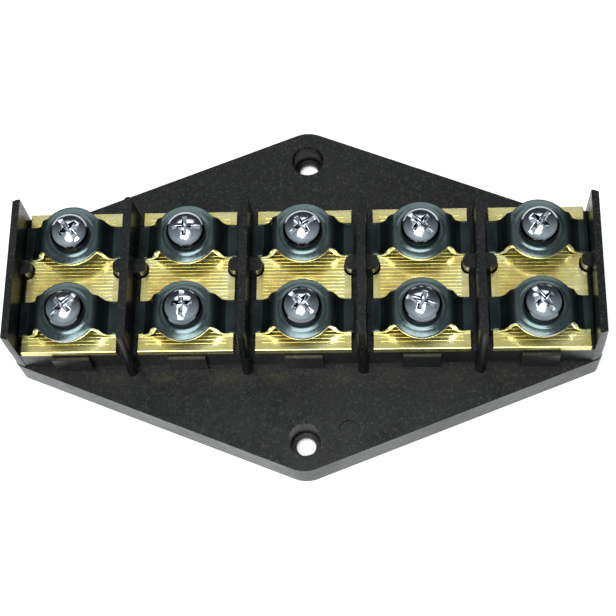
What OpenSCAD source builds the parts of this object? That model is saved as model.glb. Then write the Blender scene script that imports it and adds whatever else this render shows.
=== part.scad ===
// Barrier terminal strip: a moulded base with raised barriers, tapped brass
// plates, and screws that each carry a spring washer and a stamped saddle clamp.
// Millimetres, Z up, X along the row, origin under the middle of the base.

/* [Base] */
// Overall length of the moulded base
base_l = 127; // [124:0.5:140]
// Distance from the centre to each pointed side, before its tip is rounded
apex_y = 40.5; // [38:0.5:48]
// Half the straight width of each end
end_half = 15.5; // [13:0.5:18]
// Height of the flange
base_h = 8; // [7:0.5:10]
// Radius of the two rounded tips
tip_r = 7; // [4:1:14]
// Radius of the four end corners
end_r = 1.6; // [0.5:0.1:3]

/* [Cells] */
// Number of terminals
ways = 5; // [2:1:5]
// Distance between terminals
pitch = 25; // [24:0.5:25]
// Height of the face that the plates lie on
seat_z = 15; // [14:0.5:16]
// Half the depth of the raised block
block_half = 16; // [15:0.1:16.2]
// Width of the pad that stands out under each screw
pad_w = 8; // [6:0.5:12]
// How far that pad stands out
pad_out = 1.1; // [0.5:0.1:2]

/* [Barriers] */
// Height of the barriers
barrier_z = 25.2; // [23:0.1:28]
// Thickness at the foot
barrier_foot_t = 2.3; // [1.8:0.1:3]
// Thickness at the top
barrier_top_t = 1.8; // [1.4:0.1:2.4]
// Half length at the foot
barrier_foot_half = 18.6; // [17:0.1:20]
// Half length at the top
barrier_top_half = 16.3; // [15:0.1:18]
// Thickness of the end walls at the top
wall_t = 1.6; // [1.2:0.1:2]
// Inward slope of the end walls' outer faces over their height
wall_draft = 0.9; // [0:0.1:1.2]
// Reach of the lugs that locate the plates, from the middle of a cell
lug_reach = 8.9; // [8.8:0.1:9.4]
// Depth of those lugs
lug_t = 3.3; // [3:0.1:4]
// Distance of their middle behind the middle of the cells
lug_y = 2.65; // [2.1:0.05:2.7]
// Height of their tops
lug_z = 19.6; // [18:0.1:21]

/* [Fixing holes] */
// Distance of each fixing hole from the centre
hole_y = 33; // [31:0.5:34]
// Diameter of the fixing holes
hole_d = 4.2; // [3.5:0.1:5]
// Diameter of the counterbores at their mouths
head_room_d = 7.2; // [6.5:0.1:8]
// Diameter of the counterbores at their floors
head_floor_d = 6.1; // [5.5:0.1:7]
// Height of the floor of each counterbore
hole_floor = 2.4; // [2.2:0.1:5]
// Depth of the recess under that floor
hole_under = 1.2; // [0.5:0.1:1.4]

/* [Brass plates] */
// Width of a plate
plate_w = 20.6; // [19:0.1:21]
// Length of a plate
plate_l = 32.4; // [31:0.1:33]
// Thickness of a plate
plate_t = 2; // [1.5:0.1:2.5]
// Distance of each screw from the middle of the plate
screw_y = 8.8; // [8.5:0.1:9.2]
// Diameter of the tapped holes
tapped_d = 4; // [4:0.1:4.2]

/* [Saddle clamps] */
// Diameter of the disc
disc_d = 13.4; // [12:0.1:13.4]
// Span over both wings
wing_span = 21.4; // [20:0.1:21.5]
// Depth of the wings
wing_l = 7.6; // [6:0.1:9]
// Thickness of the sheet
sheet_t = 1; // [0.8:0.1:1.2]
// Clear height under the disc
arch_h = 4.1; // [3:0.1:4.5]
// Distance from the screw's axis to the bends beside the disc
knee_x = 5.4; // [5:0.1:5.6]
// Radius of those bends, to the middle of the sheet
knee_r = 0.9; // [0.6:0.1:1.2]
// Radius of the bends above the feet, to the middle of the sheet
foot_r = 2; // [1.5:0.1:2.2]
// Steepness of the wings between their bends
wing_slope = 70; // [65:1:75]
// Height that the disc's middle is pressed up
crown_h = 0.35; // [0:0.05:0.5]
// Radius between the disc and the wings
wing_fillet = 1.2; // [0.5:0.1:2]
// Hole for the screw
clamp_hole_d = 4.4; // [4.2:0.1:4.8]

/* [Spring washers] */
// Outer diameter
spring_d = 7.6; // [7:0.1:7.8]
// Inner diameter
spring_hole_d = 4.2; // [4.1:0.1:4.6]
// Thickness when tightened
spring_t = 0.8; // [0.6:0.1:1.2]
// Width of the split
split_w = 0.6; // [0.4:0.1:1]

/* [Screws] */
// Diameter of the head
head_d = 8.4; // [7:0.1:8.4]
// Height of the head
head_h = 2.9; // [2.6:0.1:3.2]
// Radius of the head's rounded edge
head_edge_r = 1.5; // [1:0.1:1.8]
// Radius of the head's domed top
head_dome_r = 7; // [6:0.5:12]
// Outer diameter of the thread
shank_d = 3.9; // [3.8:0.05:3.95]
// Length under the head
shank_l = 12; // [11:0.5:12]
// Width of the slot
slot_w = 1.1; // [0.8:0.1:1.4]
// Depth of the slot
slot_h = 1; // [0.8:0.1:1.3]
// Width of the cross recess
cross_w = 1; // [0.8:0.1:1.2]
// Span of the cross recess
cross_span = 4.8; // [4:0.1:5]
// Depth of the cross recess
cross_h = 2; // [1.5:0.1:2.2]

/* [Hidden] */
// Facets of each rounded outline corner and of each bend, and sides of each true circle
CORNER_STEPS = 10;
BEND_STEPS = 5;
ROUND = 64;
// Gap between pieces of different bodies that rest on each other
SEAT_GAP = 0.05;
// How far one solid is sunk into the other that it is moulded with
BITE = 0.5;
// Extra length of a cutter beyond the face that it opens
OVER = 1;

half_l = base_l / 2;
edge_slope = atan((apex_y - end_half) / half_l);
plate_top = seat_z + plate_t;
foot_z = plate_top + SEAT_GAP;
disc_z = foot_z + arch_h;
spring_z = disc_z + sheet_t + crown_h + SEAT_GAP;
head_z = spring_z + spring_t + SEAT_GAP;
disc_r = disc_d / 2;
wing_half = wing_l / 2;
crown_r = knee_x - 0.4;
lug_round = 1.4;
pad_z = seat_z - 0.6;
wall_in = half_l - wall_draft - wall_t;
wall_inset = 0.15;
wall_end = block_half + 0.1;
// Gap round the lugs in the plates' notches
notch_gap = 0.2;
// Wells for the screws' tails
tail_d = 5.2;
tail_z = head_z - shank_l - 0.8;
// Hollow underside: depth, rim, ribs, and collar round each fixing hole
hollow_h = 3;
rim_w = 2.8;
rib_w = 2.4;
collar_d = 12;
// Round ejector dimple and short slot on the front of the flange
dimple_at = [9.4, -31];
dimple_d = 4.4;
dimple_h = 0.6;
tick_at = [0, -18.7];
tick_size = [0.8, 2.1];
tick_h = 0.5;
// Turn of each screw's slot, from left to right
FRONT_TURN = [48, 90, -45, -20, -55];
REAR_TURN = [-50, 0, 35, -45, 50];

CELLS = [for (i = [1:ways]) i];
ROWS = ["front", "rear"];
function spots(name) = [for (row = ROWS) for (i = CELLS) str(name, "_", row, "_", i)];

function cell_x(i) = (i - (ways + 1) / 2) * pitch;
function row_y(row) = row == "front" ? -screw_y : screw_y;
function row_turn(row, i) = row == "front" ? FRONT_TURN[i - 1] : REAR_TURN[i - 1];
function unit(v) = v / norm(v);

// Points that round the corner b of the path a, b, c, which turns left
function rounded_corner(a, b, c, r) =
    let (
        to_a = unit(a - b),
        to_c = unit(c - b),
        half = acos(to_a * to_c) / 2,
        middle = b + unit(to_a + to_c) * r / sin(half),
        first = b + to_a * r / tan(half) - middle,
        start = atan2(first[1], first[0]),
        sweep = 180 - 2 * half
    )
    [for (k = [0:CORNER_STEPS])
        let (angle = start + sweep * k / CORNER_STEPS)
        middle + r * [cos(angle), sin(angle)]];

// Outline of the base, moved inward by inset
function base_outline(inset) =
    let (
        x = half_l - inset,
        tip = apex_y - inset / cos(edge_slope),
        side = end_half + inset * (sin(edge_slope) - 1) / cos(edge_slope),
        corners = [[0, tip], [-x, side], [-x, -side], [0, -tip], [x, -side], [x, side]],
        radii = [tip_r, end_r, end_r, tip_r, end_r, end_r]
    )
    [for (i = [0:5])
        each rounded_corner(corners[(i + 5) % 6], corners[i], corners[(i + 1) % 6],
                            max(0.5, radii[i] - inset))];

module box(x0, x1, y0, y1, z0, z1) {
    translate([x0, y0, z0])
        cube([x1 - x0, y1 - y0, z1 - z0]);
}

module at_holes() {
    for (side = [-1, 1])
        translate([0, side * hole_y, 0])
            children();
}

module at_screws() {
    for (row = ROWS)
        for (i = CELLS)
            translate([cell_x(i), row_y(row), 0])
                children();
}

// Slice through a barrier at height z
module barrier_slice(z, half, t) {
    for (side = [-1, 1])
        translate([0, side * (half - t / 2), z])
            cylinder(h = 0.02, d = t, $fn = 24);
}

module barrier() {
    hull() {
        barrier_slice(base_h - BITE, barrier_foot_half, barrier_foot_t);
        barrier_slice(barrier_z - 0.02, barrier_top_half, barrier_top_t);
    }
}

// End wall on the right, drafted on its outer face
module end_wall() {
    intersection() {
        translate([0, 0, base_h - BITE])
            linear_extrude(barrier_z - base_h + BITE)
                polygon(base_outline(wall_inset));
        translate([0, wall_end, 0])
            rotate([90, 0, 0])
                linear_extrude(2 * wall_end)
                    polygon([
                        [wall_in, 0],
                        [half_l + 0.1, 0],
                        [half_l, base_h],
                        [half_l - wall_draft, barrier_z + 0.01],
                        [wall_in, barrier_z + 0.01]
                    ]);
    }
}

// Section of a lug, out to a given distance from its middle at both sides
module lug_section(reach, half, round) {
    square([2 * (reach - round), 2 * half], center = true);
    square([2 * reach, 2 * (half - round)], center = true);
    for (x = [-1, 1])
        for (y = [-1, 1])
            translate([x * (reach - round), y * (half - round)])
                circle(r = round, $fn = ROUND);
}

// Lug across a barrier, which holds the plates of both its cells in place
module lug() {
    translate([0, lug_y, seat_z - BITE])
        linear_extrude(lug_z - seat_z + BITE)
            lug_section(pitch / 2 - lug_reach, lug_t / 2, lug_round);
}

// The half of such a lug that stands inside the right end wall
module end_lug() {
    intersection() {
        translate([cell_x(ways) + pitch / 2, 0, 0])
            lug();
        box(0, wall_in + BITE, -block_half, block_half, 0, barrier_z);
    }
}

module base_solid() {
    linear_extrude(base_h)
        polygon(base_outline(0));
    box(-wall_in - BITE, wall_in + BITE, -block_half, block_half, base_h - BITE, seat_z);
    for (i = CELLS)
        box(cell_x(i) - pad_w / 2, cell_x(i) + pad_w / 2, -block_half - pad_out,
            block_half + pad_out, base_h - BITE, pad_z);
    for (i = [1:ways - 1])
        translate([cell_x(i) + pitch / 2, 0, 0]) {
            barrier();
            lug();
        }
    for (side = [0, 1])
        mirror([side, 0, 0]) {
            end_wall();
            end_lug();
        }
}

// Space under the base between its rim, ribs and collars
module hollow() {
    difference() {
        translate([0, 0, -OVER])
            linear_extrude(hollow_h + OVER)
                polygon(base_outline(rim_w));
        for (i = [1:ways - 1])
            box(cell_x(i) + (pitch - rib_w) / 2, cell_x(i) + (pitch + rib_w) / 2,
                -apex_y, apex_y, -2 * OVER, hollow_h + OVER);
        for (side = [-1, 1])
            box(-half_l, half_l, side * block_half - rib_w / 2, side * block_half + rib_w / 2,
                -2 * OVER, hollow_h + OVER);
        at_holes()
            translate([0, 0, -2 * OVER])
                cylinder(h = hollow_h + 3 * OVER, d = collar_d, $fn = ROUND);
    }
}

// Fixing hole with its tapered counterbore above and its recess below
module fixing_hole() {
    depth = base_h - hole_floor;
    taper = (head_room_d - head_floor_d) / depth;
    translate([0, 0, -OVER])
        cylinder(h = base_h + 2 * OVER, d = hole_d, $fn = ROUND);
    translate([0, 0, hole_floor])
        cylinder(h = depth + OVER, d1 = head_floor_d, d2 = head_room_d + taper * OVER, $fn = ROUND);
    translate([0, 0, -OVER])
        cylinder(h = hole_under + OVER, d = head_room_d, $fn = ROUND);
}

module base() {
    color("#1b1d1f")
        difference() {
            base_solid();
            hollow();
            at_holes()
                fixing_hole();
            at_screws()
                translate([0, 0, tail_z])
                    cylinder(h = seat_z - tail_z + OVER, d = tail_d, $fn = ROUND);
            translate([dimple_at[0], dimple_at[1], base_h - dimple_h])
                cylinder(h = dimple_h + OVER, d = dimple_d, $fn = ROUND);
            translate([tick_at[0] - tick_size[0] / 2, tick_at[1] - tick_size[1] / 2, base_h - tick_h])
                cube([tick_size[0], tick_size[1], tick_h + OVER]);
        }
}

// Brass plate with two tapped holes and a notch for the lug at each side
module terminal_plate(i) {
    color("#c9a14a")
        translate([cell_x(i), 0, seat_z])
            difference() {
                translate([-plate_w / 2, -plate_l / 2, 0])
                    cube([plate_w, plate_l, plate_t]);
                for (side = [-1, 1]) {
                    translate([side * pitch / 2, lug_y, -OVER])
                        linear_extrude(plate_t + 2 * OVER)
                            lug_section(pitch / 2 - lug_reach + notch_gap, lug_t / 2 + notch_gap,
                                        lug_round + notch_gap);
                    translate([0, side * screw_y, -OVER])
                        cylinder(h = plate_t + 2 * OVER, d = tapped_d, $fn = ROUND);
                }
            }
}

// Blank of the clamp: a disc with a wing at each side, filleted together
module clamp_blank() {
    fillet_y = wing_half + wing_fillet;
    fillet_x = sqrt(pow(disc_r + wing_fillet, 2) - pow(fillet_y, 2));
    touch = [fillet_x, fillet_y] * disc_r / (disc_r + wing_fillet);
    circle(r = disc_r, $fn = ROUND);
    square([wing_span, wing_l], center = true);
    for (x = [0, 1])
        for (y = [0, 1])
            mirror([x, 0])
                mirror([0, y])
                    difference() {
                        polygon([
                            [touch[0] - 1, wing_half - 1],
                            [fillet_x, wing_half - 1],
                            [fillet_x, fillet_y],
                            touch
                        ]);
                        translate([fillet_x, fillet_y])
                            circle(r = wing_fillet, $fn = ROUND);
                    }
}

// One face of the bent sheet's right half, offset from the middle of the sheet
function bent_face(offset) =
    let (
        fall = arch_h - (knee_r + foot_r) * (1 - cos(wing_slope)),
        run = fall / tan(wing_slope),
        knee = [knee_x, arch_h + sheet_t / 2 - knee_r],
        foot_x = knee_x + (knee_r + foot_r) * sin(wing_slope) + run,
        foot = [foot_x, sheet_t / 2 + foot_r]
    )
    concat(
        [[crown_r, arch_h + sheet_t / 2 + offset]],
        [for (k = [0:BEND_STEPS])
            let (angle = wing_slope * k / BEND_STEPS)
            knee + (knee_r + offset) * [sin(angle), cos(angle)]],
        [for (k = [BEND_STEPS:-1:0])
            let (angle = wing_slope * k / BEND_STEPS)
            foot - (foot_r - offset) * [sin(angle), cos(angle)]],
        [[wing_span / 2, sheet_t / 2 + offset]]
    );

// Bent section of the right wing, seen from the front
module wing_section() {
    under = bent_face(-sheet_t / 2);
    top = bent_face(sheet_t / 2);
    polygon(concat(under, [for (k = [len(top) - 1:-1:0]) top[k]]));
}

// Both wings of the clamp, cut to its blank
module wings() {
    intersection() {
        translate([0, 0, -OVER])
            linear_extrude(arch_h + sheet_t + 2 * OVER)
                clamp_blank();
        for (side = [0, 1])
            mirror([side, 0, 0])
                translate([0, disc_d, 0])
                    rotate([90, 0, 0])
                        linear_extrude(2 * disc_d)
                            wing_section();
    }
}

// Disc of the clamp between its bends, with its middle pressed up
module crown() {
    hole_r = clamp_hole_d / 2;
    intersection() {
        rotate_extrude($fn = ROUND)
            polygon([
                [hole_r, arch_h + crown_h],
                [crown_r, arch_h],
                [disc_r, arch_h],
                [disc_r, arch_h + sheet_t],
                [crown_r, arch_h + sheet_t],
                [hole_r, arch_h + crown_h + sheet_t]
            ]);
        box(-knee_x, knee_x, -disc_d, disc_d, 0, disc_d);
    }
}

module clamp_plate(row, i) {
    color("#8d979c")
        translate([cell_x(i), row_y(row), foot_z]) {
            crown();
            wings();
        }
}

module spring_washer(row, i) {
    color("#6f7679")
        translate([cell_x(i), row_y(row), spring_z])
            difference() {
                cylinder(h = spring_t, d = spring_d, $fn = ROUND);
                translate([0, 0, -OVER])
                    cylinder(h = spring_t + 2 * OVER, d = spring_hole_d, $fn = ROUND);
                rotate(row_turn(row, i) + 20)
                    box(0, spring_d, -split_w / 2, split_w / 2, -OVER, spring_t + OVER);
            }
}

// Half section of the head's edge and dome, from the rim to the axis
function head_outline() =
    let (
        edge_x = head_d / 2 - head_edge_r,
        dome_z = head_h - head_dome_r,
        lean = asin(edge_x / (head_dome_r - head_edge_r)),
        edge_z = dome_z + (head_dome_r - head_edge_r) * cos(lean)
    )
    concat(
        [for (k = [0:BEND_STEPS])
            let (angle = (90 - lean) * k / BEND_STEPS)
            [edge_x, edge_z] + head_edge_r * [cos(angle), sin(angle)]],
        [for (k = [1:BEND_STEPS])
            let (angle = lean * (1 - k / BEND_STEPS))
            [0, dome_z] + head_dome_r * [sin(angle), cos(angle)]]
    );

// Half section of the screw: shank and head
module screw_section() {
    shank_r = shank_d / 2;
    tip = 0.4;
    polygon(concat(
        [
            [0, -shank_l],
            [shank_r - tip, -shank_l],
            [shank_r, tip - shank_l],
            [shank_r, 0],
            [head_d / 2 - 0.15, 0],
            [head_d / 2, 0.2]
        ],
        head_outline()
    ));
}

// Combined slot and cross recess, cut from the top of the head
module recess() {
    translate([0, 0, head_h - slot_h])
        box(-head_d, head_d, -slot_w / 2, slot_w / 2, 0, slot_h + OVER);
    intersection() {
        translate([0, 0, head_h - cross_h])
            for (turn = [0, 90])
                rotate(turn)
                    box(-cross_span / 2, cross_span / 2, -cross_w / 2, cross_w / 2, 0, cross_h + OVER);
        translate([0, 0, head_h - cross_h])
            cylinder(h = cross_h + OVER, d1 = 1.4, d2 = cross_span * (1 + OVER / cross_h), $fn = ROUND);
    }
}

module screw(row, i) {
    color("#a9b0b4")
        translate([cell_x(i), row_y(row), head_z])
            rotate(row_turn(row, i))
                difference() {
                    rotate_extrude($fn = ROUND)
                        screw_section();
                    recess();
                }
}

base();
for (i = CELLS) {
    terminal_plate(i);
    for (row = ROWS) {
        clamp_plate(row, i);
        spring_washer(row, i);
        screw(row, i);
    }
}
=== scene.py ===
"""Barrier terminal strip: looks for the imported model. All lengths are in metres."""
import math

import bmesh
import bpy
from mathutils import Matrix, Vector


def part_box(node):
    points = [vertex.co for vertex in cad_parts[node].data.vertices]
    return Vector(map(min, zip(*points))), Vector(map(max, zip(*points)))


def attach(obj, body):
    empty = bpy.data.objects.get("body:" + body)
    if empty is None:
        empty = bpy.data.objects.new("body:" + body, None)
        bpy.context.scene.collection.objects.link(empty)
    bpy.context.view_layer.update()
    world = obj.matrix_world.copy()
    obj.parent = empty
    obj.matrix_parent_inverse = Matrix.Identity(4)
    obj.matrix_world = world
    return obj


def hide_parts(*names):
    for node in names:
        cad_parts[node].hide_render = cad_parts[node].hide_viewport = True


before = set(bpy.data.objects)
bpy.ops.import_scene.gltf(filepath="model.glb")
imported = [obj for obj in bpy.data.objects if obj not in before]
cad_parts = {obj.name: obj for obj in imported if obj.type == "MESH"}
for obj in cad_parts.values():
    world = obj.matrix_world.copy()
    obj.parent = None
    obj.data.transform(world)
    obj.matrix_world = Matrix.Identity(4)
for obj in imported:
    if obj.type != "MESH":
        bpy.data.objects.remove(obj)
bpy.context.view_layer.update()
scene = bpy.context.scene
MM = 0.001
ROWS = ("front", "rear")
CELLS = range(1, 6)

# Turn of each screw's slot in degrees, cell by cell
SLOT_TURNS = {"front": (48, 90, -45, -20, -55), "rear": (-50, 0, 35, -45, 50)}


# ---------------------------------------------------------------- camera

CAMERA_PLACE = Vector((18.94, -122.30, 308.10)) * MM
CAMERA_PITCH = math.radians(68.10)
CAMERA_YAW = math.radians(-8.85)
CAMERA_ROLL = math.radians(-8.95)
CAMERA_LENS = 86.24


def make_camera():
    """Looks down by the pitch, turned from +Y to +X by the yaw, then rolled about its own axis."""
    forward = Vector((math.sin(CAMERA_YAW) * math.cos(CAMERA_PITCH),
                      math.cos(CAMERA_YAW) * math.cos(CAMERA_PITCH),
                      -math.sin(CAMERA_PITCH)))
    right = Vector((math.cos(CAMERA_YAW), -math.sin(CAMERA_YAW), 0))
    up = right.cross(forward)
    cos_r, sin_r = math.cos(CAMERA_ROLL), math.sin(CAMERA_ROLL)
    right, up = right * cos_r + up * sin_r, up * cos_r - right * sin_r
    data = bpy.data.cameras.new("camera")
    data.lens = CAMERA_LENS
    data.sensor_width = 36
    data.clip_start = 0.01
    camera = bpy.data.objects.new("camera", data)
    camera.matrix_world = Matrix((
        (right.x, up.x, -forward.x, CAMERA_PLACE.x),
        (right.y, up.y, -forward.y, CAMERA_PLACE.y),
        (right.z, up.z, -forward.z, CAMERA_PLACE.z),
        (0, 0, 0, 1)))
    scene.collection.objects.link(camera)
    scene.camera = camera


# ---------------------------------------------------------------- materials

class Nodes:
    """Short hand for building a node tree round one Principled shader."""

    def __init__(self, name, **settings):
        self.material = bpy.data.materials.new(name)
        self.material.use_nodes = True
        self.tree = self.material.node_tree
        self.shader = self.tree.nodes["Principled BSDF"]
        for key, value in settings.items():
            self.shader.inputs[key.replace("_", " ")].default_value = value
        self.shape = self.tree.nodes.new("ShaderNodeTexCoord")
        self.place = self.shape.outputs["Object"]

    def add(self, kind, inputs=(), **fields):
        """A new node, whose inputs are linked to sockets or set to values."""
        node = self.tree.nodes.new(kind)
        for key, value in fields.items():
            setattr(node, key, value)
        for key, value in dict(inputs).items():
            if isinstance(value, bpy.types.NodeSocket):
                self.tree.links.new(value, node.inputs[key])
            else:
                node.inputs[key].default_value = value
        return node

    def noise(self, scale, detail=2.0, stretch=None, rough=0.5):
        """Noise in the piece's own space, finer along an axis where stretch is larger."""
        place = self.place
        if stretch:
            place = self.add("ShaderNodeVectorMath", {0: self.place, 1: stretch},
                             operation="MULTIPLY").outputs[0]
        return self.add("ShaderNodeTexNoise", {
            "Vector": place, "Scale": scale, "Detail": detail, "Roughness": rough}).outputs["Fac"]

    def ramp(self, value, low, high, low_out=0.0, high_out=1.0):
        """Maps low..high to low_out..high_out, level beyond both ends."""
        return self.add("ShaderNodeMapRange", {
            "Value": value, "From Min": low, "From Max": high,
            "To Min": low_out, "To Max": high_out}).outputs["Result"]

    def colours(self, value, stops):
        """The colour at a value, between stops of position and colour."""
        node = self.add("ShaderNodeValToRGB", {"Fac": value})
        points = node.color_ramp.elements
        while len(points) < len(stops):
            points.new(1.0)
        for point, (position, colour) in zip(points, stops):
            point.position = position
            point.color = (*colour, 1)
        return node.outputs["Color"]

    def math(self, operation, a, b):
        return self.add("ShaderNodeMath", {0: a, 1: b}, operation=operation).outputs[0]

    def facing(self):
        """Z of the surface's normal: 1 where it faces up, 0 on an upright wall."""
        return self.add("ShaderNodeSeparateXYZ", {0: self.shape.outputs["Normal"]}).outputs["Z"]

    def bump(self, height, strength, distance, normal=None):
        inputs = {"Height": height, "Strength": strength, "Distance": distance}
        if normal:
            inputs["Normal"] = normal
        return self.add("ShaderNodeBump", inputs).outputs["Normal"]

    def set(self, socket, value):
        self.tree.links.new(value, self.shader.inputs[socket])


def moulding_material():
    """Black moulding with a fine grain, grey flecks, and a sheen that varies in blotches."""
    m = Nodes("moulding", IOR=1.38)
    grain = m.noise(2600, 3.0, rough=0.7)
    blotch = m.noise(330, 3.0)
    wide = m.noise(45, 2.0)
    fleck = m.noise(1700, 2.0, rough=0.6)
    mix = m.math("ADD", m.math("MULTIPLY", grain, 0.4), m.math("MULTIPLY", fleck, 0.6))
    m.set("Base Color", m.colours(mix, (
        (0.40, (0.0012, 0.0013, 0.0015)),
        (0.53, (0.0035, 0.0038, 0.0040)),
        (0.64, (0.030, 0.032, 0.033)))))
    wear = m.math("ADD", wide, m.math("MULTIPLY", blotch, 0.5))
    m.set("Roughness", m.ramp(wear, 0.5, 1.0, 0.20, 0.38))
    m.set("Normal", m.bump(grain, 0.5, 0.06 * MM, m.bump(blotch, 0.3, 0.1 * MM)))
    return m.material


def brass_material():
    """Brass with tarnished and bright blotches, brushed along X."""
    m = Nodes("brass", Metallic=1.0)
    streak = m.noise(900, 3.0, (0.12, 1.0, 1.0), 0.6)
    blotch = m.noise(190, 3.0)
    m.set("Base Color", m.colours(blotch, (
        (0.30, (0.60, 0.46, 0.15)),
        (0.50, (0.77, 0.69, 0.26)),
        (0.70, (0.88, 0.84, 0.44)))))
    m.set("Roughness", m.ramp(streak, 0.35, 0.7, 0.18, 0.32))
    m.set("Normal", m.bump(streak, 0.12, 0.02 * MM))
    return m.material


def zinc_material(name, tones, rough, painted_side_shade=1.0):
    """Zinc plate that drifts between three tones, with painted shade that scales the colour of its sides
    down by a given factor.
    """
    m = Nodes(name, Metallic=1.0)
    drift = m.noise(170, 2.0)
    fine = m.noise(1500, 3.0, rough=0.65)
    # Painted shade: faces that stand upright get their colour scaled down
    side = m.ramp(m.math("ABSOLUTE", m.facing(), 0.0), 0.45, 0.85, painted_side_shade, 1.0)
    plate = m.colours(drift, tuple(zip((0.32, 0.50, 0.68), tones)))
    m.set("Base Color", m.add("ShaderNodeVectorMath", {0: plate, 3: side}, operation="SCALE").outputs[0])
    m.set("Roughness", m.ramp(fine, 0.35, 0.7, *rough))
    m.set("Normal", m.bump(fine, 0.10, 0.02 * MM))
    return m.material


def clamp_material():
    """Dark passivated sheet, with painted light on its disc and underside, painted shade on its feet,
    and a painted highlight on its cut edges.
    """
    m = Nodes("zinc_sheet", Metallic=0.8)
    drift = m.noise(170, 2.0)
    fine = m.noise(1500, 3.0, rough=0.65)
    level = m.add("ShaderNodeVectorMath", {0: m.place, 1: (1, 1, 0)}, operation="MULTIPLY").outputs[0]
    radius = m.add("ShaderNodeVectorMath", {0: level}, operation="LENGTH").outputs["Value"]
    # Painted light on the disc and painted shade on the feet, by distance from the screw's axis
    painted_disc_light = m.ramp(radius, 6.0 * MM, 8.0 * MM, 0.29, 0.0)
    painted_foot_shade = m.ramp(radius, 8.0 * MM, 9.2 * MM, 0.0, -0.12)
    facing = m.facing()
    # Painted highlight: upright cut edges are pushed up the ramp towards its last, bright stop
    painted_edge_highlight = m.ramp(m.math("ABSOLUTE", facing, 0.0), 0.12, 0.30, 0.5, 0.0)
    # Painted light: faces that look down are lightened, and also roughened, for a brighter reflection in
    # the brass below
    underside = m.ramp(facing, -0.30, -0.10, 0.45, 0.0)
    # Random drift plus the painted light, shade and highlight, as a position on the colour ramp
    tone_with_painted_light = m.math("ADD", m.math("ADD", m.math("MULTIPLY", drift, 0.35), painted_foot_shade),
                  m.math("ADD", painted_disc_light, m.math("MAXIMUM", painted_edge_highlight, underside)))
    m.set("Base Color", m.colours(tone_with_painted_light, (
        (0.00, (0.010, 0.015, 0.016)),
        (0.12, (0.028, 0.040, 0.042)),
        (0.24, (0.042, 0.058, 0.060)),
        (0.46, (0.070, 0.100, 0.100)),
        (0.62, (0.105, 0.132, 0.138)),
        # The painted highlight's colour on the cut edges
        (0.80, (0.550, 0.560, 0.540)))))
    m.set("Roughness", m.math("ADD", m.ramp(fine, 0.35, 0.7, 0.12, 0.22), underside))
    m.set("Normal", m.bump(fine, 0.10, 0.02 * MM))
    return m.material


# ---------------------------------------------------------------- mesh helpers

def new_object(name, verts, faces, material, smooth_angle=None):
    mesh = bpy.data.meshes.new(name)
    mesh.from_pydata(verts, [], faces)
    mesh.validate()
    mesh.materials.append(material)
    obj = bpy.data.objects.new(name, mesh)
    scene.collection.objects.link(obj)
    if smooth_angle is not None:
        shade(mesh, smooth_angle)
    return obj


def shared_copy(name, mesh, place, turn=0):
    """A new object that shares a mesh, at a place and turned about Z by some degrees."""
    obj = bpy.data.objects.new(name, mesh)
    scene.collection.objects.link(obj)
    obj.location = place
    obj.rotation_euler.z = math.radians(turn)
    return obj


def foot_point(node):
    """The middle of the underside of a node's box."""
    low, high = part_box(node)
    return Vector(((low.x + high.x) / 2, (low.y + high.y) / 2, low.z))


def box_height(node):
    low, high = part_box(node)
    return high.z - low.z


def shade(mesh, angle):
    """Smooth shading, but for edges sharper than an angle in degrees."""
    mesh.polygons.foreach_set("use_smooth", [True] * len(mesh.polygons))
    mesh.set_sharp_from_angle(angle=math.radians(angle))


def apply_modifiers(obj):
    """Gives obj the evaluated mesh of its modifiers, and removes them."""
    bpy.context.view_layer.update()
    graph = bpy.context.evaluated_depsgraph_get()
    mesh = bpy.data.meshes.new_from_object(obj.evaluated_get(graph))
    obj.modifiers.clear()
    obj.data = mesh


def bevel(obj, width, segments, angle):
    """Rounds the edges sharper than an angle in degrees."""
    mod = obj.modifiers.new("bevel", "BEVEL")
    mod.width = width
    mod.segments = segments
    mod.limit_method = "ANGLE"
    mod.angle_limit = math.radians(angle)
    mod.miter_outer = "MITER_ARC"
    mod.use_clamp_overlap = True
    apply_modifiers(obj)


def even_normals(obj, angle):
    """Smooth shading in which large flat faces stay flat beside their rounded edges."""
    shade(obj.data, angle)
    mod = obj.modifiers.new("normals", "WEIGHTED_NORMAL")
    mod.mode = "FACE_AREA"
    mod.keep_sharp = True
    apply_modifiers(obj)


def cut(obj, cutter):
    """Takes the cutter's shape out of obj, and removes the cutter."""
    mod = obj.modifiers.new("cut", "BOOLEAN")
    mod.object = cutter
    mod.operation = "DIFFERENCE"
    mod.solver = "EXACT"
    apply_modifiers(obj)
    bpy.data.objects.remove(cutter)


def node_copy(node, name, material):
    """A new object with the node's shape, its flat faces joined but for those underneath."""
    bm = bmesh.new()
    bm.from_mesh(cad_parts[node].data)
    bmesh.ops.remove_doubles(bm, verts=bm.verts, dist=0.001 * MM)
    edges = [e for e in bm.edges if any(f.normal.z > -0.99 for f in e.link_faces)]
    bmesh.ops.dissolve_limit(bm, angle_limit=math.radians(0.6), verts=bm.verts, edges=edges)
    bm.verts.index_update()
    verts = [v.co.copy() for v in bm.verts]
    faces = [[v.index for v in f.verts] for f in bm.faces]
    bm.free()
    return new_object(name, verts, faces, material)


def weld(obj, distance):
    """Merges vertices that lie on each other and drops the faces that vanish with them."""
    bm = bmesh.new()
    bm.from_mesh(obj.data)
    bmesh.ops.remove_doubles(bm, verts=bm.verts, dist=distance)
    bmesh.ops.dissolve_degenerate(bm, dist=distance, edges=bm.edges)
    bm.to_mesh(obj.data)
    bm.free()


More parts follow.
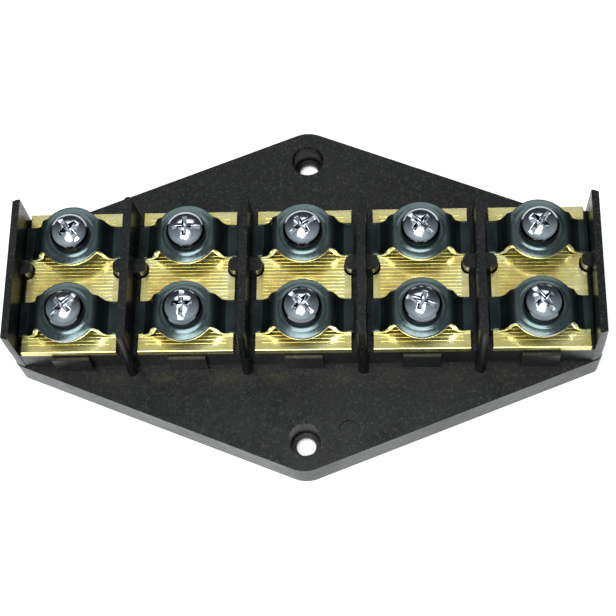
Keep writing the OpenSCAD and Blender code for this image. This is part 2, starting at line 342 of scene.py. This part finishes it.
def lathe(profile, segments):
    """Vertices and faces of a closed profile turned round Z. It starts and ends on the axis."""
    inner = profile[1:-1]
    verts = [(0, 0, profile[0][1]), (0, 0, profile[-1][1])]
    for k in range(segments):
        a = 2 * math.pi * k / segments
        verts += [(r * math.cos(a), r * math.sin(a), z) for r, z in inner]
    n = len(inner)
    faces = []
    for k in range(segments):
        a, b = 2 + k * n, 2 + (k + 1) % segments * n
        faces.append((0, b, a))
        faces += [(a + i, b + i, b + i + 1, a + i + 1) for i in range(n - 1)]
        faces.append((1, a + n - 1, b + n - 1))
    return verts, faces


def rect(x, y):
    """Outline of a rectangle about the origin, with half sides x and y."""
    return [(-x, -y), (x, -y), (x, y), (-x, y)]


def prism(low, high, z0, z1):
    """Vertices and faces between the outline low at z0 and the outline high at z1."""
    n = len(low)
    verts = [(x, y, z0) for x, y in low] + [(x, y, z1) for x, y in high]
    faces = [tuple(reversed(range(n))), tuple(range(n, 2 * n))]
    faces += [(i, (i + 1) % n, n + (i + 1) % n, n + i) for i in range(n)]
    return verts, faces


def joined(parts):
    """Vertices and faces of several meshes as one."""
    verts, faces = [], []
    for more_verts, more_faces in parts:
        start = len(verts)
        verts += more_verts
        faces += [tuple(start + i for i in f) for f in more_faces]
    return verts, faces


def clamp01(t):
    """t, kept between 0 and 1."""
    return max(0.0, min(1.0, t))


def height_at(line, x):
    """Height at x of a line through points (x, z), level beyond both ends."""
    for (x0, z0), (x1, z1) in zip(line, line[1:]):
        if x <= x0:
            return z0
        if x < x1:
            return z0 + (z1 - z0) * (x - x0) / (x1 - x0)
    return line[-1][1]


# ---------------------------------------------------------------- base

BASE_EDGE = 0.28 * MM


def make_base(material):
    piece = node_copy("base", "base_moulding", material)
    bevel(piece, BASE_EDGE, segments=2, angle=32)
    even_normals(piece, angle=50)
    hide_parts("base")
    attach(piece, "strip")


# ---------------------------------------------------------------- brass plates

PLATE_EDGE = 0.18 * MM
GROOVE_PITCH = 0.8 * MM
GROOVE_DEPTH = 0.045 * MM
GROOVE_HALF_WIDTH = 0.05 * MM
GROOVE_HALF_X = 8.9 * MM
GROOVE_RUN_OUT = 0.3 * MM
GROOVES_EACH_WAY = 18
CUTTER_GAP = 0.005 * MM
CUTTER_T = 0.2 * MM


def groove_cutter(top):
    """Serrations across the plate: a bar along X, clear of the plate but for its pointed teeth.

    Each end of the bar has three points a tooth, the second of them its tip, then two on the roof.
    """
    clear = top + CUTTER_GAP
    floor = top - GROOVE_DEPTH
    roof = top + CUTTER_T
    teeth = []
    for k in range(-GROOVES_EACH_WAY, GROOVES_EACH_WAY + 1):
        y = k * GROOVE_PITCH
        teeth += [(y - GROOVE_HALF_WIDTH, clear), (y, floor), (y + GROOVE_HALF_WIDTH, clear)]
    verts = []
    for side in (-1, 1):
        end = side * GROOVE_HALF_X
        tip = side * (GROOVE_HALF_X - GROOVE_RUN_OUT)
        verts += [(tip if z == floor else end, y, z) for y, z in teeth]
        verts += [(end, teeth[-1][0], roof), (end, teeth[0][0], roof)]
    n = len(teeth)
    m = n + 2
    faces = [(k, k + 1, m + k + 1, m + k) for k in range(m - 1)] + [(m - 1, 0, m, 2 * m - 1)]
    for k in range(1, n, 3):
        faces += [(k - 1, k + 1, k), (m + k + 1, m + k - 1, m + k)]
    rims = [k for k in range(n) if k % 3 != 1]
    faces.append((m - 1, n, *reversed(rims)))
    faces.append((m + n, 2 * m - 1, *[m + k for k in rims]))
    return verts, faces


def make_plates(material):
    """One plate is built about its own middle, and the others share its mesh."""
    template = node_copy("terminal_plate_1", "plate_template", material)
    template.data.transform(Matrix.Translation(-foot_point("terminal_plate_1")))
    bevel(template, PLATE_EDGE, segments=3, angle=32)
    cut(template, new_object("grooves", *groove_cutter(box_height("terminal_plate_1")), material))
    even_normals(template, angle=12)
    for i in CELLS:
        node = f"terminal_plate_{i}"
        piece = shared_copy(f"brass_plate_{i}", template.data, foot_point(node))
        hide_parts(node)
        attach(piece, "strip")
    bpy.data.objects.remove(template)


# ---------------------------------------------------------------- saddle clamps

# Outline seen from above: the disc and its hole, half a wing each way, and the fillets between them
DISC_R = 6.7 * MM
HOLE_R = 2.2 * MM
WING_X = 10.7 * MM
WING_Y = 3.8 * MM
FILLET_R = 1.2 * MM

# Section along X: the sheet, the rise of the arch, where the knee starts, and the two bends
SHEET = 1.0 * MM
ARCH = 4.1 * MM
KNEE = 5.4 * MM
KNEE_R = 0.9 * MM
FOOT_R = 2.0 * MM
SLOPE = math.radians(70)

CLAMP_EDGE = 0.12 * MM
BEND_STEPS = 6
DISC_RINGS = 18
DISC_STEPS = 96

# Rise of the crowned disc at distances from the screw's axis, both in mm
CROWN = ((0.0, 0.36), (4.7, 0.36), (4.95, 0.29), (5.2, 0.215),
         (5.7, 0.16), (6.2, 0.09), (6.7, 0.0), (20.0, 0.0))


def outline_radius(angle):
    """Distance from the screw's axis to the clamp's outline, in one direction."""
    x, y = abs(math.cos(angle)), abs(math.sin(angle))
    if x * WING_Y >= y * WING_X:
        return WING_X / x
    fillet_y = WING_Y + FILLET_R
    fillet_x = math.sqrt((DISC_R + FILLET_R) ** 2 - fillet_y ** 2)
    if y * fillet_x <= x * WING_Y:
        return WING_Y / y
    if y * fillet_x >= x * fillet_y:
        return DISC_R
    along = x * fillet_x + y * fillet_y
    aside_squared = fillet_x ** 2 + fillet_y ** 2 - along ** 2
    return along - math.sqrt(max(0.0, FILLET_R ** 2 - aside_squared))


def bent_face(offset):
    """Points (x, z) of one face of the bent sheet, from the knee to the end of the foot."""
    fall = ARCH - (KNEE_R + FOOT_R) * (1 - math.cos(SLOPE))
    foot_x = KNEE + (KNEE_R + FOOT_R) * math.sin(SLOPE) + fall / math.tan(SLOPE)
    steps = [SLOPE * k / BEND_STEPS for k in range(BEND_STEPS + 1)]
    knee = [(KNEE + (KNEE_R + offset) * math.sin(a),
             ARCH + SHEET / 2 - KNEE_R + (KNEE_R + offset) * math.cos(a)) for a in steps]
    foot = [(foot_x - (FOOT_R - offset) * math.sin(a),
             SHEET / 2 + FOOT_R - (FOOT_R - offset) * math.cos(a)) for a in reversed(steps)]
    return knee + foot + [(WING_X, SHEET / 2 + offset)]


def clamp_directions(bends):
    """Directions of the mesh's spokes: even steps, and where each bend meets a wing's long edge."""
    turns = {2 * math.pi * k / DISC_STEPS for k in range(DISC_STEPS)}
    for x, _ in bends:
        a = math.atan2(WING_Y, x)
        turns |= {a, math.pi - a, math.pi + a, 2 * math.pi - a}
    turns = sorted(turns)
    return [a for k, a in enumerate(turns) if k == 0 or a - turns[k - 1] > 1e-4]


def clamp_face(face, directions):
    """Vertices of one face of the clamp, from the hole to the outline along each spoke."""
    verts = []
    for a in directions:
        rim = outline_radius(a)
        along_x = max(1e-6, abs(math.cos(a)))
        inner = min(rim, face[0][0] / along_x)
        radii = [min(inner, HOLE_R + (DISC_R - HOLE_R) * k / DISC_RINGS) for k in range(DISC_RINGS)]
        radii += [min(rim, x / along_x) for x, _ in face]
        for r in radii:
            z = height_at(face, r * along_x) + height_at(CROWN, r / MM) * MM
            verts.append((r * math.cos(a), r * math.sin(a), z))
    return verts


def clamp_mesh():
    """The bent sheet: its top and underside, joined round the hole and along the outline."""
    top, under = bent_face(SHEET / 2), bent_face(-SHEET / 2)
    directions = clamp_directions(top + under)
    verts = clamp_face(top, directions) + clamp_face(under, directions)
    rings = DISC_RINGS + len(top)
    low = len(directions) * rings
    faces = []
    for j in range(len(directions)):
        a, b = j * rings, (j + 1) % len(directions) * rings
        for k in range(rings - 1):
            faces.append((a + k, a + k + 1, b + k + 1, b + k))
            faces.append((low + a + k, low + b + k, low + b + k + 1, low + a + k + 1))
        faces.append((a, b, low + b, low + a))
        faces.append((a + rings - 1, low + a + rings - 1, low + b + rings - 1, b + rings - 1))
    return verts, faces


def make_clamps(material):
    """One clamp is built about its own middle, and all of them share its mesh."""
    template = new_object("clamp_template", *clamp_mesh(), material)
    weld(template, distance=0.002 * MM)
    bevel(template, CLAMP_EDGE, segments=2, angle=50)
    even_normals(template, angle=45)
    for row in ROWS:
        for i in CELLS:
            node = f"clamp_plate_{row}_{i}"
            piece = shared_copy(f"saddle_{row}_{i}", template.data, foot_point(node))
            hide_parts(node)
            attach(piece, f"clamp_{row}_{i}")
    bpy.data.objects.remove(template)


# ---------------------------------------------------------------- spring washers

WASHER_INNER_R = 2.1 * MM
WASHER_OUTER_R = 3.8 * MM
WASHER_EDGE = 0.1 * MM
WASHER_SPLIT = 0.6 * MM
WASHER_STEPS = 72
WASHER_TONES = ((0.20, 0.24, 0.25), (0.28, 0.32, 0.33), (0.36, 0.39, 0.41))

# Degrees from a screw's slot to its washer's split
SPLIT_AHEAD = 20


def washer_mesh(thick):
    """A flat square-section ring with a slanted split."""
    inner, outer, edge = WASHER_INNER_R, WASHER_OUTER_R, WASHER_EDGE
    section = [(inner + edge, 0), (outer - edge, 0), (outer, edge), (outer, thick - edge),
               (outer - edge, thick), (inner + edge, thick), (inner, thick - edge), (inner, edge)]
    n = len(section)
    verts = []
    for k in range(WASHER_STEPS + 1):
        t = k / WASHER_STEPS
        for r, z in section:
            slant = (0.5 - z / thick) * 0.5 * WASHER_SPLIT
            start = (WASHER_SPLIT / 2 + slant) / outer
            end = 2 * math.pi - (WASHER_SPLIT / 2 - slant) / outer
            a = start + (end - start) * t
            verts.append((r * math.cos(a), r * math.sin(a), z))
    last = WASHER_STEPS * n
    faces = [tuple(range(n)), tuple(reversed(range(last, last + n)))]
    for k in range(WASHER_STEPS):
        a, b = k * n, (k + 1) * n
        faces += [(a + i, b + i, b + (i + 1) % n, a + (i + 1) % n) for i in range(n)]
    return verts, faces


def make_washers(material):
    """The washers share one mesh. Each is turned a little further than its screw's slot."""
    thick = box_height("spring_washer_front_1")
    template = new_object("washer", *washer_mesh(thick), material, smooth_angle=25)
    for row in ROWS:
        for i, turn in zip(CELLS, SLOT_TURNS[row]):
            node = f"spring_washer_{row}_{i}"
            x, y, _ = foot_point(f"screw_{row}_{i}")
            place = (x, y, foot_point(node).z)
            piece = shared_copy(f"lock_washer_{row}_{i}", template.data, place, turn + SPLIT_AHEAD)
            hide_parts(node)
            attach(piece, f"clamp_{row}_{i}")
    bpy.data.objects.remove(template)


# ---------------------------------------------------------------- screws

HEAD_R = 4.2 * MM
HEAD_H = 2.9 * MM
EDGE_R = 2.0 * MM
DOME_R = 6.2 * MM
HEAD_STEPS = 72
EDGE_STEPS = 10
DOME_STEPS = 8

# Rounded rim under the head: inwards from its side, and up from its underside
RIM = ((0.25 * MM, 0), (0.06 * MM, 0.06 * MM), (0, 0.18 * MM))

# The slot, and half an arm of the cross at its floor and at its top, along and across
SLOT_HALF = 0.55 * MM
SLOT_DEPTH = 1.0 * MM
CROSS_DEPTH = 2.0 * MM
CROSS_FLOOR = (1.0 * MM, 0.36 * MM)
CROSS_TOP = (2.65 * MM, 0.56 * MM)
RECESS_TOP = HEAD_H + 0.3 * MM
RECESS_EDGE = 0.07 * MM

# The thread starts HEAD_FADE below the head, is full at twice that, and fades over TIP_FADE at the tip
SHANK = 12.0 * MM
THREAD_R = 1.93 * MM
ROOT_R = 1.62 * MM
LEAD = 0.7 * MM
HEAD_FADE = 0.5 * MM
TIP_FADE = 0.8 * MM
THREAD_STEPS = 40
THREAD_ROWS = int(SHANK / LEAD * 10)

SCREW_TONES = ((0.48, 0.54, 0.60), (0.62, 0.68, 0.73), (0.74, 0.78, 0.80))


def head_profile():
    """Half section of the head, from the middle of its underside to the middle of its dome.

    The edge's arc stands on the side and runs into the dome without a crease.
    """
    edge_x = HEAD_R - EDGE_R
    dome_z = HEAD_H - DOME_R
    lean = math.asin(edge_x / (DOME_R - EDGE_R))
    edge_z = dome_z + (DOME_R - EDGE_R) * math.cos(lean)
    points = [(0, 0)] + [(HEAD_R - inwards, z) for inwards, z in RIM]
    for k in range(EDGE_STEPS + 1):
        a = (math.pi / 2 - lean) * k / EDGE_STEPS
        points.append((edge_x + EDGE_R * math.cos(a), edge_z + EDGE_R * math.sin(a)))
    for k in range(1, DOME_STEPS + 1):
        a = lean * (1 - k / DOME_STEPS)
        points.append((DOME_R * math.sin(a), dome_z + DOME_R * math.cos(a)))
    return points


def recess_cutters():
    """The slot right across the head, and the two arms of the cross, which taper downwards."""
    slot = rect(HEAD_R + 0.8 * MM, SLOT_HALF)
    floor_x, floor_y = CROSS_FLOOR
    top_x, top_y = CROSS_TOP
    cross_z = HEAD_H - CROSS_DEPTH
    return (prism(slot, slot, HEAD_H - SLOT_DEPTH, RECESS_TOP),
            prism(rect(floor_x, floor_y), rect(top_x, top_y), cross_z, RECESS_TOP),
            prism(rect(floor_y, floor_x), rect(top_y, top_x), cross_z, RECESS_TOP))


def thread_mesh():
    """The shank, with a thread of pointed ridges that fades out at the head and at the tip."""
    verts = []
    for j in range(THREAD_ROWS + 1):
        z = -SHANK * j / THREAD_ROWS
        fade = clamp01((-z - HEAD_FADE) / HEAD_FADE) * clamp01((SHANK + z) / TIP_FADE)
        for k in range(THREAD_STEPS):
            a = 2 * math.pi * k / THREAD_STEPS
            wave = abs(((z / LEAD - k / THREAD_STEPS) % 1.0) * 2 - 1)
            r = ROOT_R + (THREAD_R - ROOT_R) * wave * fade
            verts.append((r * math.cos(a), r * math.sin(a), z))
    last = THREAD_ROWS * THREAD_STEPS
    faces = [tuple(reversed(range(THREAD_STEPS))), tuple(range(last, last + THREAD_STEPS))]
    for j in range(THREAD_ROWS):
        for k in range(THREAD_STEPS):
            a, b = j * THREAD_STEPS + k, j * THREAD_STEPS + (k + 1) % THREAD_STEPS
            faces.append((a, a + THREAD_STEPS, b + THREAD_STEPS, b))
    return verts, faces


def make_screws(material):
    """Head and threaded shank are one mesh, which all the screws share."""
    head = new_object("head", *lathe(head_profile(), HEAD_STEPS), material)
    for cutter in recess_cutters():
        cut(head, new_object("recess", *cutter, material))
    bevel(head, RECESS_EDGE, segments=2, angle=40)
    head_verts = [v.co.copy() for v in head.data.vertices]
    head_faces = [tuple(p.vertices) for p in head.data.polygons]
    whole = joined(((head_verts, head_faces), thread_mesh()))
    template = new_object("screw", *whole, material, smooth_angle=35)
    bpy.data.objects.remove(head)
    for row in ROWS:
        for i, turn in zip(CELLS, SLOT_TURNS[row]):
            node = f"screw_{row}_{i}"
            x, y, _ = foot_point(node)
            place = (x, y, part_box(node)[1].z - HEAD_H)
            piece = shared_copy(f"pan_screw_{row}_{i}", template.data, place, turn)
            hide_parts(node)
            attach(piece, f"screw_body_{row}_{i}")
    bpy.data.objects.remove(template)


# ---------------------------------------------------------------- studio

FLOOR_HALF = 3.0
FLOOR_GAP = 0.05 * MM
FLOOR_GLOW = 0.5

# All panels are a little to the left of the strip's middle, at one distance from it
PANEL_SIDE = math.radians(-3.7)
PANEL_DISTANCE = 1.0

ROOM_TINT = (0.84, 0.95, 1.0, 1)
ROOM_FRONT = 0.62
ROOM_BACK = 0.05


def floor_material():
    """Pale matt floor with a glow of its own."""
    m = Nodes("floor", Roughness=0.9)
    m.shader.inputs["Base Color"].default_value = (0.8, 0.8, 0.8, 1)
    m.shader.inputs["Emission Color"].default_value = (1.0, 1.0, 1.0, 1)
    m.shader.inputs["Emission Strength"].default_value = FLOOR_GLOW
    return m.material


def make_floor():
    corners = [(x, y, 0) for x, y in rect(FLOOR_HALF, FLOOR_HALF)]
    floor = new_object("floor", corners, [(0, 1, 2, 3)], floor_material())
    floor.location.z = -FLOOR_GAP


def make_panel(name, front, width, height, radiance):
    """Soft light that faces the strip from some degrees in front of the zenith."""
    data = bpy.data.lights.new(name, "AREA")
    data.shape = "RECTANGLE"
    data.size, data.size_y = width, height
    data.energy = radiance * math.pi * width * height
    light = bpy.data.objects.new(name, data)
    front = math.radians(front)
    place = Vector((math.sin(PANEL_SIDE),
                    -math.sin(front) * math.cos(PANEL_SIDE),
                    math.cos(front) * math.cos(PANEL_SIDE))) * PANEL_DISTANCE
    light.location = place
    light.rotation_euler = (-place).to_track_quat("-Z", "Y").to_euler()
    scene.collection.objects.link(light)


def make_lights():
    make_panel("key", front=11.2, width=0.44, height=0.60, radiance=8.5)
    make_panel("top", front=-23.5, width=0.90, height=0.33, radiance=0.41)
    make_panel("back", front=-43.5, width=0.90, height=0.27, radiance=2.2)


def make_world():
    """A dim room that is lighter towards the front than towards the back."""
    world = bpy.data.worlds.new("studio")
    scene.world = world
    world.use_nodes = True
    tree = world.node_tree
    place = tree.nodes.new("ShaderNodeTexCoord").outputs["Generated"]
    split = tree.nodes.new("ShaderNodeSeparateXYZ")
    level = tree.nodes.new("ShaderNodeMapRange")
    tree.links.new(place, split.inputs[0])
    tree.links.new(split.outputs["Y"], level.inputs["Value"])
    level.inputs["From Min"].default_value = -0.9
    level.inputs["From Max"].default_value = 0.7
    level.inputs["To Min"].default_value = ROOM_FRONT
    level.inputs["To Max"].default_value = ROOM_BACK
    background = tree.nodes["Background"]
    background.inputs["Color"].default_value = ROOM_TINT
    tree.links.new(level.outputs["Result"], background.inputs["Strength"])


make_camera()
make_base(moulding_material())
make_plates(brass_material())
make_clamps(clamp_material())
make_washers(zinc_material("zinc_spring", WASHER_TONES, rough=(0.22, 0.36)))
# The screw heads get painted shade on their sides, a fifth as bright
make_screws(zinc_material("zinc_screw", SCREW_TONES, rough=(0.10, 0.20), painted_side_shade=0.2))
make_floor()
make_world()
make_lights()
scene.view_settings.view_transform = "Standard"
